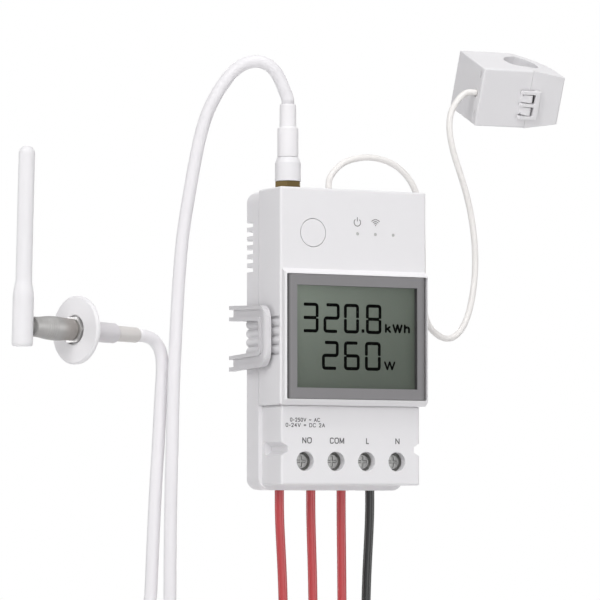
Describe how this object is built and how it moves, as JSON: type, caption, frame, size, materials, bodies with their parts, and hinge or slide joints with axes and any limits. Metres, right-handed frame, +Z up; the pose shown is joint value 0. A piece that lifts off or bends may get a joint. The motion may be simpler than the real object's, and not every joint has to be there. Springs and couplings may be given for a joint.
{
  "type": "smart energy monitor",
  "caption": "Rail-mounted smart energy monitor with a display, push button, screw terminals, cabled panel antenna and a split-core current clamp on its own lead.",
  "frame": {"origin": "middle of the raised rail seat on the back of the case", "axes": "+Z up along the case, +X to the right seen from the front, +Y out of the back; the display faces -Y"},
  "size_m": [0.2077, 0.0442, 0.2711],
  "materials": {
    "case_white": "satin",
    "inner_white": "satin",
    "bezel_grey": "fine matte",
    "window_clear": "clear gloss",
    "cell_grey": "satin",
    "clear_pipe": "clear gloss",
    "board_green": "solder mask",
    "part_dark": "matte",
    "relay_blue": "satin",
    "plated_steel": "zinc plated",
    "tin_metal": "tin plated",
    "brass": "machined",
    "copper": "drawn",
    "cable_white": "satin",
    "cable_dark": "satin",
    "wire_red": "satin",
    "barrel_grey": "satin, knurled",
    "core_dark": "ground"
  },
  "bodies": {
    "monitor": {"rear_housing": "case_white", "front_cover": "case_white", "terminal_cover": "case_white", "display_bezel": "bezel_grey", "display_window": "window_clear", "display_cell": "cell_grey", "backlight": "inner_white", "display_pins": "part_dark", "light_pipes": "clear_pipe", "indicator_leds": "clear_pipe", "main_board": "board_green", "power_relay": "relay_blue", "supply_module": "part_dark", "supply_capacitor": "part_dark", "radio_module": "tin_metal", "tact_switch": "part_dark", "terminal_block": "inner_white", "contact_bars": "copper", "case_screws": "plated_steel", "antenna_jack": "brass", "jack_nut": "brass", "plug_boot": "cable_white", "antenna_cable_down": "cable_white", "antenna_cable_coil": "cable_white", "coil_tie": "cable_dark", "antenna_cable_up": "cable_white", "antenna_boot": "cable_white", "panel_connector": "brass", "panel_flange": "case_white", "panel_nut": "plated_steel", "antenna_spindle": "part_dark", "clamp_body": "case_white", "clamp_core": "core_dark", "clamp_winding": "copper", "clamp_hinge_pin": "plated_steel", "sensor_grommet": "inner_white", "sensor_cable": "cable_white", "wire_1": "wire_red", "wire_2": "wire_red", "wire_3": "wire_red", "wire_4": "cable_dark", "wire_ferrules": "tin_metal"},
    "button": {"button_cap": "case_white"},
    "latch": {"rail_latch": "case_white"},
    "coupling": {"plug_coupling": "case_white"},
    "barrel": {"antenna_barrel": "barrel_grey"},
    "antenna": {"antenna_blade": "case_white", "antenna_rod": "copper"},
    "jaw": {"clamp_jaw": "case_white", "jaw_core": "core_dark", "clamp_clasp": "case_white"},
    "screw_1": {"terminal_screw_1": "plated_steel"},
    "cage_1": {"terminal_cage_1": "plated_steel"},
    "screw_2": {"terminal_screw_2": "plated_steel"},
    "cage_2": {"terminal_cage_2": "plated_steel"},
    "screw_3": {"terminal_screw_3": "plated_steel"},
    "cage_3": {"terminal_cage_3": "plated_steel"},
    "screw_4": {"terminal_screw_4": "plated_steel"},
    "cage_4": {"terminal_cage_4": "plated_steel"}
  },
  "joints": [
    {"name": "button_press", "type": "slide", "parent": "monitor", "child": "button", "axis": [0, 1, 0], "range_m": [0, 0.0005], "stiffness_N_per_m": 2000},
    {"name": "latch_pull", "type": "slide", "parent": "monitor", "child": "latch", "axis": [-1, 0, 0], "range_m": [0, 0.003]},
    {"name": "plug_turn", "type": "hinge", "parent": "monitor", "child": "coupling", "pos_m": [-0.0181, -0.013, 0.0556], "axis": [0, 0, 1], "continuous": true},
    {"name": "barrel_turn", "type": "hinge", "parent": "monitor", "child": "barrel", "pos_m": [-0.0908, -0.0065, 0.0017], "axis": [-0.9534, -0.3006, 0.0262], "continuous": true},
    {"name": "antenna_swivel", "type": "hinge", "parent": "monitor", "child": "antenna", "pos_m": [-0.0908, -0.0065, 0.0017], "axis": [-0.9534, -0.3006, 0.0262], "range_deg": [-180, 180]},
    {"name": "jaw_open", "type": "hinge", "parent": "monitor", "child": "jaw", "pos_m": [0.07736, 0.01112, 0.09311], "axis": [-0.0313, -0.3975, 0.9171], "range_deg": [0, 95]},
    {"name": "screw_turn_1", "type": "hinge", "parent": "monitor", "child": "screw_1", "pos_m": [-0.01695, -0.02, -0.0397], "axis": [0, -1, 0], "range_deg": [0, 720]},
    {"name": "cage_slide_1", "type": "slide", "parent": "monitor", "child": "cage_1", "axis": [0, 1, 0], "range_m": [0, 0.001]},
    {"name": "screw_turn_2", "type": "hinge", "parent": "monitor", "child": "screw_2", "pos_m": [-0.00565, -0.02, -0.0397], "axis": [0, -1, 0], "range_deg": [0, 720]},
    {"name": "cage_slide_2", "type": "slide", "parent": "monitor", "child": "cage_2", "axis": [0, 1, 0], "range_m": [0, 0.001]},
    {"name": "screw_turn_3", "type": "hinge", "parent": "monitor", "child": "screw_3", "pos_m": [0.00565, -0.02, -0.0397], "axis": [0, -1, 0], "range_deg": [0, 720]},
    {"name": "cage_slide_3", "type": "slide", "parent": "monitor", "child": "cage_3", "axis": [0, 1, 0], "range_m": [0, 0.001]},
    {"name": "screw_turn_4", "type": "hinge", "parent": "monitor", "child": "screw_4", "pos_m": [0.01695, -0.02, -0.0397], "axis": [0, -1, 0], "range_deg": [0, 720]},
    {"name": "cage_slide_4", "type": "slide", "parent": "monitor", "child": "cage_4", "axis": [0, 1, 0], "range_m": [0, 0.001]}
  ],
  "couplings": [
    {"joint": "screw_turn_1", "follows": "cage_slide_1", "rad_per_m": 12566},
    {"joint": "screw_turn_2", "follows": "cage_slide_2", "rad_per_m": 12566},
    {"joint": "screw_turn_3", "follows": "cage_slide_3", "rad_per_m": 12566},
    {"joint": "screw_turn_4", "follows": "cage_slide_4", "rad_per_m": 12566}
  ]
}
